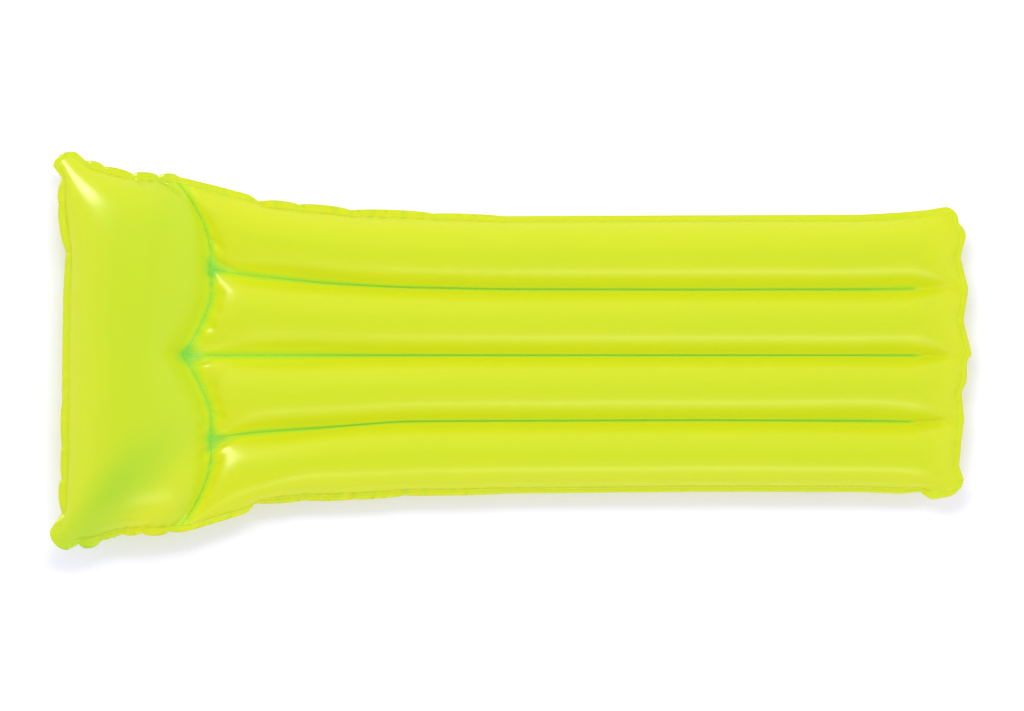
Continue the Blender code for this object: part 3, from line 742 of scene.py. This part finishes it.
def valve_pieces(name, look):
    """The five pieces of a valve, finer than the frame's."""
    turn = valve_frame(name)
    short = name.split("_")[0]

    def finish(made, piece, body, node, place=turn):
        finish_piece(made, short + piece, look, body, [name + node], place)

    top, under = -(FILM + FIT), -(FILM + FIT + FLANGE)
    wall = [(CUP_R, top + (CUP_FOLD - CUP_DEPTH - top) * share) for share in np.linspace(0, 1, 16)[:-1]]
    back = [(CUP_R + CUP_WALL, height) for _, height in reversed(wall) if height < under - 0.0005]
    hole = COLLAR_R + FIT
    inner = arc(CUP_R - CUP_FOLD, CUP_FOLD - CUP_DEPTH, CUP_FOLD, QUARTER, 2 * QUARTER, 9)
    outer = arc(CUP_R - CUP_FOLD, CUP_FOLD - CUP_DEPTH, CUP_FOLD + CUP_WALL, 2 * QUARTER, QUARTER, 9)
    profile = [(FLANGE_R, top - EASE), (FLANGE_R - EDGE, top)] + wall + inner
    profile += [(hole, -CUP_DEPTH), (hole, -CUP_DEPTH - CUP_WALL)] + outer + back
    profile += [(CUP_R + CUP_WALL, under - EDGE), (CUP_R + CUP_WALL + EDGE, under),
                (FLANGE_R - EDGE, under), (FLANGE_R, under + EASE)]
    base = lathe(name + "_base_visual", profile)
    base.data.transform(turn)
    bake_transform(base)
    finish(base, "_cup", None, "_base", None)

    lip = BEAD / 3
    collar_top = -(CUP_DEPTH - COLLAR_LIP)
    profile = arc(BORE_R + lip, STEM_TIP - lip, lip, -QUARTER, 0, 5)
    profile += arc(BEAD_R - lip, STEM_TIP - lip, lip, 0, QUARTER, 5)
    profile += [(BEAD_R, STEM_TIP - BEAD + EASE), (BEAD_R - EASE, STEM_TIP - BEAD), (STEM_R, STEM_TIP - BEAD),
                (STEM_R, collar_top), (COLLAR_R - lip, collar_top), (COLLAR_R, collar_top - lip),
                (COLLAR_R, STEM_END), (BORE_R, STEM_END)]
    finish(lathe(name + "_stem_visual", profile), "_tube", short + "_stem", "_stem")

    middle, root = STEM_END - FIT - FLAP / 2, FLAP / 2
    disc = lathe(name + "_flap_visual", [(0, root), (FLAP_R - EASE, root), (FLAP_R, root - EASE),
                                         (FLAP_R, -root + EASE), (FLAP_R - EASE, -root), (0, -root)])
    disc.data.transform(Matrix.Translation((0, 0, middle)))
    reach = FLAP_HINGE_R - FLAP_R / 2
    lug = [(-FLAP_HINGE_R - root, middle - root), (-FLAP_HINGE_R + reach, middle - root * 0.6),
           (-FLAP_HINGE_R + reach, middle + root * 0.6), (-FLAP_HINGE_R - root, middle + root)]
    disc = combine(disc, extruded("lug", lug, FLAP_LUG), "UNION")
    finish(disc, "_check_flap", short + "_flap", "_flap")

    top = STEM_TIP - BEAD - FIT
    under = top - RING
    inner, outer = STEM_R + FIT, STEM_R + FIT + RING_WALL
    ring = lathe(name + "_tether_visual", [
        (inner, top - EDGE), (inner + EDGE, top), (outer - EDGE, top), (outer, top - EDGE),
        (outer, under + EDGE), (outer - EDGE, under), (inner + EDGE, under), (inner, under + EDGE)])
    ring_middle, cap_middle = top - RING / 2, -(CAP_RECESS + CAP / 2)
    centre, bend = (ring_middle + cap_middle) / 2, (cap_middle - ring_middle) / 2
    half = STRAP / 2
    reach = STRAP_REACH - bend - half
    outline = [(outer - RING_WALL / 2, centre - bend - half)]
    outline += arc(reach, centre, bend + half, 2 * QUARTER, 0, 17)
    outline += [(CAP_R + FIT, centre + bend + half), (CAP_R + FIT, centre + bend - half)]
    outline += arc(reach, centre, bend - half, 0, 2 * QUARTER, 17)
    outline += [(outer - RING_WALL / 2, centre - bend + half)]
    ring = combine(ring, extruded("strap", outline, STRAP_WIDTH), "UNION")
    finish(ring, "_strap", short + "_tether", "_tether")

    top = -CAP_RECESS
    under = top - CAP
    end = under - PLUG_LENGTH
    edge = CAP / 4
    flat = CAP_R - 2 * edge
    profile = [(radius, top - CAP_DISH * (1 - (radius / flat) ** 2)) for radius in np.linspace(0, flat, 6)]
    profile += arc(CAP_R - edge, top - edge, edge, 0, QUARTER, 6)
    profile += [(CAP_R, under + EASE), (CAP_R - EASE, under), (PLUG_R, under), (PLUG_R, end + PLUG_TAPER),
                (PLUG_R - 2 * EASE, end), (0, end)]
    cap = lathe(name + "_stopper_visual", profile)
    middle, half = top - CAP / 2, TAB / 2
    outline = [(-CAP_R / 2, middle + half)] + arc(half - TAB_REACH, middle, half, 0, -2 * QUARTER, 9)
    outline += [(-CAP_R / 2, middle - half)]
    cap = combine(cap, extruded("tab", outline, TAB_WIDTH), "UNION")
    finish(cap, "_cap", short + "_stopper", "_stopper")


def grid_normals(sheet):
    """Unit normals, upwards on an upright sheet, of a grid of points [axis, row, column]."""
    along = np.gradient(sheet, axis=1)
    across = np.gradient(sheet, axis=2)
    normal = np.cross(along, across, axisa=0, axisb=0, axisc=0)
    return normal / (np.linalg.norm(normal, axis=0) + 1e-12)


def shell(name, outer, inner, upwards, values):
    """A closed thin body between two grids of points, with values kept on its points."""
    rows, columns = outer.shape[1:]
    count = rows * columns
    number = np.arange(count).reshape(rows, columns)
    quads = np.stack([number[:-1, :-1], number[1:, :-1], number[1:, 1:], number[:-1, 1:]], -1).reshape(-1, 4)
    rim = np.concatenate([number[0, :], number[1:, -1], number[-1, -2::-1], number[-2:0:-1, 0]])
    after = np.roll(rim, -1)
    sides = np.stack([rim, after, after + count, rim + count], -1)
    if upwards:
        faces = np.concatenate([quads, quads[:, ::-1] + count, sides])
    else:
        faces = np.concatenate([quads[:, ::-1], quads + count, sides[:, ::-1]])
    points = np.concatenate([outer.reshape(3, -1).T, inner.reshape(3, -1).T])
    made = mesh_object(name, points, faces.tolist())
    for key, value in values.items():
        kept = made.data.attributes.new(key, "FLOAT", "POINT")
        kept.data.foreach_set("value", np.tile(value.reshape(-1), 2).astype(np.float32))
    return made


def moved(turn, sheet):
    """A grid of points, turned and moved."""
    turn = np.array(turn)
    return np.einsum("ij,jrc->irc", turn[:3, :3], sheet) + turn[:3, 3][:, None, None]


def seat_valve(sheet, turn):
    """The film lies flat against the valve's flange."""
    spot = moved(turn.inverted(), sheet)
    radius = np.hypot(spot[0], spot[1])
    near = (1 - smooth((radius - SEAT_R) / SEAT_EASE)) * (np.abs(spot[2]) < SEAT_EASE)
    spot[2] *= 1 - near
    seated = moved(turn, spot)
    seated[2] = np.maximum(seated[2], sheet[2].min())
    return seated


def weld_paths(pattern, sheet):
    """The lines that the welds follow on a film's outside: points, and the pairs that join them."""
    edge, seam = pattern.edge, pattern.seam_row
    last_row, last_column = pattern.rows - 1 - edge, pattern.columns - 1 - edge
    inside = sheet[:, edge:last_row + 1, edge:last_column + 1]
    loop = [inside[:, 0, :], inside[:, 1:, -1], inside[:, -1, -2::-1], inside[:, -2:0:-1, 0]]
    middle = (sheet[:, seam] + sheet[:, seam + 1]) / 2
    paths = [(np.concatenate(loop, axis=1), True), (middle[:, edge:last_column + 1], False)]
    seamed = (pattern.key >= 2) & (pattern.u[:, pattern.columns // 2] <= END_FLAT - PASSAGE_FLAT)
    for index in range(1, TUBES):
        column = edge + index * (pattern.tube + 1) - 1
        tube_line = (sheet[:, seamed, column] + sheet[:, seamed, column + 1]) / 2
        paths.append((np.concatenate([middle[:, column:column + 1], tube_line], axis=1), False))
    points, pairs = [], []
    for path, closed in paths:
        count = path.shape[1]
        first = len(points)
        points += path.T.tolist()
        pairs += [(first + index, first + index + 1) for index in range(count - 1)]
        if closed:
            pairs.append((first + count - 1, first))
    return points, pairs


def bead_tree():
    """Geometry nodes: a round bead of pressed-out vinyl swept along the lines of a mesh."""
    tree = bpy.data.node_groups.new("weld_bead", "GeometryNodeTree")
    for name, way, kind in (("Geometry", "OUTPUT", "Geometry"), ("Geometry", "INPUT", "Geometry"),
                            ("Radius", "INPUT", "Float"), ("Sides", "INPUT", "Int"),
                            ("Vinyl", "INPUT", "Material")):
        tree.interface.new_socket(name=name, in_out=way, socket_type="NodeSocket" + kind)
    new = tree.nodes.new
    given = new("NodeGroupInput").outputs
    path = fill(new("GeometryNodeMeshToCurve"), {0: given["Geometry"]})
    ring = fill(new("GeometryNodeCurvePrimitiveCircle"), {
        "Resolution": given["Sides"], "Radius": given["Radius"]})
    sweep = fill(new("GeometryNodeCurveToMesh"), {
        "Curve": path.outputs[0], "Profile Curve": ring.outputs[0], "Fill Caps": True})
    soft = fill(new("GeometryNodeSetShadeSmooth"), {"Geometry": sweep.outputs[0]})
    real = fill(new("GeometryNodeRealizeInstances"), {0: soft.outputs[0]})
    paint = fill(new("GeometryNodeSetMaterial"), {"Geometry": real.outputs[0], "Material": given["Vinyl"]})
    fill(new("NodeGroupOutput"), {0: paint.outputs[0]})
    return tree


def weld_bead(name, tree, points, pairs, look):
    """The bead along these lines, as a plain mesh."""
    guide = bpy.data.meshes.new(name)
    guide.from_pydata(points, pairs, [])
    made = put(name, guide)
    step = made.modifiers.new("bead", "NODES")
    step.node_group = tree
    values = {"Radius": BEAD_RADIUS, "Sides": BEAD_SIDES, "Vinyl": look}
    for item in tree.interface.items_tree:
        if item.in_out == "INPUT" and item.name in values:
            step[item.identifier] = values[item.name]
    graph = bpy.context.evaluated_depsgraph_get()
    made.data = bpy.data.meshes.new_from_object(made.evaluated_get(graph))
    made.modifiers.clear()
    return made


def material(name):
    """A new material and its empty tree."""
    made = bpy.data.materials.new(name)
    made.use_nodes = True
    tree = made.node_tree
    tree.nodes.clear()
    return made, tree


def fill(node, values):
    """Sets a node's sockets, by name or number, to values or to other nodes' results."""
    for key, value in values.items():
        if isinstance(value, bpy.types.NodeSocket):
            node.id_data.links.new(value, node.inputs[key])
        else:
            node.inputs[key].default_value = value
    return node


def steps(tree, value, near, far, amount, other=0):
    """A value that goes smoothly from this amount at `near` to the other at `far`."""
    node = tree.nodes.new("ShaderNodeMapRange")
    node.interpolation_type = "SMOOTHSTEP"
    values = {"Value": value, "From Min": near, "From Max": far, "To Min": amount, "To Max": other}
    return fill(node, values).outputs[0]


def maths(tree, operation, *values):
    """A sum of values that are numbers or other nodes' results."""
    node = tree.nodes.new("ShaderNodeMath")
    node.operation = operation
    return fill(node, dict(enumerate(values))).outputs[0]


def stored(tree, name):
    """The value that the film's points carry under this name."""
    node = tree.nodes.new("ShaderNodeAttribute")
    node.attribute_name = name
    return node.outputs["Fac"]


def noise(tree, place, scale, detail):
    """Clouds over an object's own places."""
    node = tree.nodes.new("ShaderNodeTexNoise")
    return fill(node, {"Vector": place, "Scale": scale, "Detail": detail}).outputs["Fac"]


def noise_along(tree, value, scale):
    """Uneven waves along one value."""
    node = tree.nodes.new("ShaderNodeTexNoise")
    node.noise_dimensions = "1D"
    return fill(node, {"W": value, "Scale": scale, "Detail": 1}).outputs["Fac"]


def dyed(tree, share, first, second):
    """A colour that goes from the first to the second."""
    node = tree.nodes.new("ShaderNodeMix")
    node.data_type = "RGBA"
    return fill(node, {0: share, 6: first, 7: second}).outputs[2]


def mixed(tree, share, first, second):
    """Two shaders mixed, with this share of the second."""
    return fill(tree.nodes.new("ShaderNodeMixShader"), {0: share, 1: first, 2: second}).outputs[0]


def film_look():
    """Fluorescent yellow-green vinyl film: a satin skin that lets light through, with painted shade in its
    colour and a painted glow.
    """
    made, tree = material("vinyl")
    new = tree.nodes.new
    names = ("ADD", "MULTIPLY", "SUBTRACT", "ABSOLUTE", "MINIMUM")
    plus, times, less, gap, least = (partial(maths, tree, name) for name in names)
    fall = partial(steps, tree)
    place = new("ShaderNodeTexCoord").outputs["Object"]
    x, y, _ = fill(new("ShaderNodeSeparateXYZ"), {0: place}).outputs
    past, rim, along, across, back = (
        stored(tree, name) for name in ("past", "rim", "along", "across", "behind"))

    # Distances from the tube seams, from the pillow seam and from either
    tube = least(gap(across), gap(less(gap(across), PITCH_FLAT)))
    behind = plus(gap(back), fall(rim, -0.004, 0.001, 0.05))
    seam = least(plus(tube, past), behind)

    # Green: a thin darker line on each weld is the pressed weld's own colour; a band beside the seams and
    # patches where they meet are painted shade of the grooves
    bed = fall(past, 0, 0.02, 1)
    rim_line = times(fall(gap(less(rim, 0.0005)), 0.0003, 0.0015, 0.50), bed)
    thin = maths(tree, "MAXIMUM", fall(seam, 0.0004, 0.0022, 0.40), rim_line)
    thin = times(thin, fall(x, 0.64, 0.78, 1))
    green_and_painted_shade = plus(thin, fall(seam, 0, 0.024, 0.36))
    green_and_painted_shade = plus(green_and_painted_shade, times(fall(tube, 0, 0.035, 0.5), fall(behind, 0, 0.040, 1)))

    # Painted shade on the pillow: a little greener all over, more so towards its seam and on a slanting band
    # in its lower corner, with a painted highlight paler beside that band
    in_pillow = less(1, fall(times(back, -1), 0, 0.03, 1))
    green_and_painted_shade = plus(green_and_painted_shade, times(in_pillow, plus(fall(behind, 0.02, 0.18, 0.14), 0.02)))
    slant = maths(tree, "MULTIPLY_ADD", y, -0.563, maths(tree, "MULTIPLY_ADD", x, 0.826, 0.462))
    band = less(fall(gap(slant), 0, 0.07, 0.24), fall(gap(less(slant, 0.09)), 0, 0.05, 0.12))
    green_and_painted_shade = plus(green_and_painted_shade, times(in_pillow, times(band, fall(y, -0.26, -0.10, 1))))

    # Greener in the deep middle of a chamber as painted shade, and cloudy all over as the film's own uneven
    # tone
    green_and_painted_shade = plus(green_and_painted_shade, fall(least(seam, rim), 0.15, 0.02, 0.13))
    green_and_painted_shade = plus(green_and_painted_shade, times(noise(tree, place, 5, 2), 0.06))

    # Short folds beside the gathered edge and the pillow seam: bumped, and their light and dark streaks also
    # painted into the colour as painted shade
    near_rim = times(fall(gap(rim), 0, 0.020, 1), times(fall(along, 0.75, 0.90, 1), bed))
    fold_bump_and_shade = times(less(noise_along(tree, along, 60), 0.5), near_rim)
    near_seam = fall(behind, 0, 0.020, 1)
    fold_bump_and_shade = plus(fold_bump_and_shade, times(less(noise_along(tree, across, 90), 0.5), near_seam))
    green_and_painted_shade = plus(green_and_painted_shade, times(fold_bump_and_shade, 0.5))

    tint = dyed(tree, green_and_painted_shade, (0.55, 0.552, 0.002, 1), (0.13, 0.47, 0.05, 1))
    # The glow is painted light: it stands for the dye's fluorescence and fills the shade, more strongly along
    # the rim and beside the seams
    painted_glow_colour = dyed(tree, green_and_painted_shade, (0.552, 0.640, 0.021, 1), (0.15, 0.51, 0.08, 1))
    painted_glow_strength = plus(fall(rim, -0.002, 0.003, 0.07), fall(seam, 0, 0.035, 0.38))

    # The film's skin: satin gloss with fine grain over slow unevenness
    height = plus(times(noise(tree, place, 700, 2), 0.12), noise(tree, place, 22, 1))
    bump = fill(new("ShaderNodeBump"), {
        "Strength": 0.10, "Distance": 0.001, "Height": plus(height, times(fold_bump_and_shade, 12))}).outputs[0]
    body = fill(new("ShaderNodeBsdfPrincipled"), {
        "Base Color": tint, "Roughness": 0.30, "Specular IOR Level": 0.2, "Sheen Weight": 0.30,
        "Sheen Roughness": 0.35, "Sheen Tint": (1.0, 0.90, 0.20, 1), "Emission Color": painted_glow_colour,
        "Emission Strength": plus(painted_glow_strength, 1.20), "Normal": bump}).outputs[0]
    glow = fill(new("ShaderNodeBsdfTranslucent"), {"Color": tint}).outputs[0]
    gloss = fill(new("ShaderNodeBsdfGlossy"), {
        "Roughness": 0.32, "Color": (1.0, 0.93, 0.60, 1), "Normal": bump}).outputs[0]
    slope = fill(new("ShaderNodeLayerWeight"), {"Blend": 0.5, "Normal": bump}).outputs["Facing"]
    share = maths(tree, "MULTIPLY_ADD", maths(tree, "POWER", slope, 4), 0.25, 0.020)
    skin = mixed(tree, share, mixed(tree, 0.62, body, glow), gloss)
    fill(new("ShaderNodeOutputMaterial"), {0: skin})
    return made


def moulded_look(name, dark, light, roughness, painted_glow_strength=0.0):
    """Soft moulded vinyl, a little cloudy, with a painted glow whose strength is the last argument."""
    made, tree = material(name)
    new = tree.nodes.new
    place = new("ShaderNodeTexCoord").outputs["Object"]
    tint = dyed(tree, noise(tree, place, 120, 2), dark, light)
    skin = fill(new("ShaderNodeBsdfPrincipled"), {
        "Base Color": tint, "Roughness": roughness, "Subsurface Weight": 0.3,
        "Subsurface Radius": (0.004, 0.004, 0.001), "Emission Color": tint, "Emission Strength": painted_glow_strength})
    fill(new("ShaderNodeOutputMaterial"), {0: skin.outputs[0]})
    return made


pattern, place = inflate(600, 300)
place = crimp(pattern, relax(pattern, place))

vinyl = film_look()
moulded = moulded_look("soft_moulded", (0.66, 0.76, 0.16, 1), (0.74, 0.80, 0.24, 1), 0.35)
# The weld bead's darker green is its own colour; its small glow is painted light that lifts it out of the
# grooves' shade
pressed = moulded_look("weld_bead", (0.34, 0.62, 0.04, 1), (0.46, 0.70, 0.04, 1), 0.25, 0.15)
beads = bead_tree()

VALVES = ("bed_valve", "pillow_valve")
for side_name, index, sign in (("top", 0, 1), ("bottom", 1, -1)):
    sheet = place[:, index].astype(float)
    common = grid_normals(place.mean(axis=1))
    normal = grid_normals(sheet)
    if normal[2].mean() < 0:
        normal, common = -normal, -common
    weld = pattern.weld[None]
    normal = normal * (1 - weld) + common * weld
    normal = normal / np.linalg.norm(normal, axis=0)
    inner = sheet + sign * normal * GAP / 2
    if sign < 0:
        for valve in VALVES:
            turn = valve_frame(valve)
            inner = seat_valve(inner, turn @ Matrix.Translation((0, 0, -FILM)))
    outer = inner + sign * normal * FILM
    made = shell(side_name + "_film", outer, inner, sign > 0, {
        "across": pattern.across, "behind": pattern.behind, "past": pattern.past, "rim": pattern.to_rim,
        "along": pattern.along})
    if sign < 0:
        for valve in VALVES:
            hole = lathe("hole", [(0, 0.02), (FILM_HOLE_R, 0.02), (FILM_HOLE_R, -0.02), (0, -0.02)])
            hole.data.transform(valve_frame(valve))
            combine(made, hole, "DIFFERENCE")
    finish_piece(made, side_name + "_film", vinyl, "mattress", [side_name + "_sheet"])
    bead = weld_bead(side_name + "_welds", beads, *weld_paths(pattern, outer), pressed)
    finish_piece(bead, side_name + "_welds", pressed, "mattress", [side_name + "_sheet"])

for valve in VALVES:
    valve_pieces(valve, moulded)

# Floor, light and camera
FLOOR_Z = -0.0005
PIXELS = 1024
METRES_PER_PIXEL = 0.00185
floor_look, tree = material("floor")
paint = fill(tree.nodes.new("ShaderNodeBsdfPrincipled"), {
    "Base Color": (0.86, 0.84, 0.97, 1), "Emission Color": (0.68, 0.62, 1.0, 1), "Emission Strength": 0.10,
    "Roughness": 0.9, "Specular IOR Level": 0.0})
fill(tree.nodes.new("ShaderNodeOutputMaterial"), {0: paint.outputs[0]})
corners = [(x, y, FLOOR_Z) for x, y in ((-8, -8), (8, -8), (8, 8), (-8, 8))]
floor = mesh_object("floor", corners, [(0, 1, 2, 3)])
floor.data.materials.append(floor_look)

world = bpy.data.worlds.new("studio")
bpy.context.scene.world = world
world.use_nodes = True
sky = world.node_tree
new = sky.nodes.new
way = new("ShaderNodeTexCoord").outputs["Generated"]
up = fill(new("ShaderNodeSeparateXYZ"), {0: way}).outputs["Z"]
ramp = fill(new("ShaderNodeMapRange"), {
    "Value": up, "From Min": 0.2, "From Max": 1.0, "To Min": 1.55, "To Max": 0.75}).outputs[0]
# A slightly darker patch of the studio beside the pillow's lower corner
aim = new("ShaderNodeVectorMath")
aim.operation = "DOT_PRODUCT"
fill(aim, {0: way, 1: (-0.56, -0.60, 0.57)})
patch = steps(sky, aim.outputs["Value"], 0.70, 1.0, 1.0, 0.82)
fill(sky.nodes["Background"], {0: (1, 1, 1, 1), 1: maths(sky, "MULTIPLY", ramp, patch)})
bpy.context.scene.view_settings.view_transform = "Standard"


def softbox(name, place, aim, size, power, diffuse=True, gloss=True):
    """A rectangular studio light that may be left out of the surfaces' diffuse light or of their gloss."""
    data = bpy.data.lights.new(name, "AREA")
    data.shape = "RECTANGLE"
    data.size, data.size_y = size
    data.energy = power
    made = put(name, data)
    made.visible_diffuse = diffuse
    made.visible_glossy = gloss
    made.location = place
    made.rotation_euler = (Vector(aim) - Vector(place)).to_track_quat("-Z", "Y").to_euler()


softbox("key", (-0.2, 1.45, 3.0), (0, 0, 0), (2.0, 1.0), 42, gloss=False)
softbox("band", (0.9, -2.4, 1.75), (0.9, 0, 0.05), (2.4, 0.6), 27, diffuse=False)
softbox("glint", (-2.4, 2.2, 1.5), (-0.6, 0.1, 0), (1.1, 1.1), 150, diffuse=False)

camera = put("camera", bpy.data.cameras.new("camera"))
camera.data.type = "ORTHO"
camera.data.ortho_scale = PIXELS * METRES_PER_PIXEL
camera.location = (0.0019, -0.0039, 3)
bpy.context.scene.camera = camera
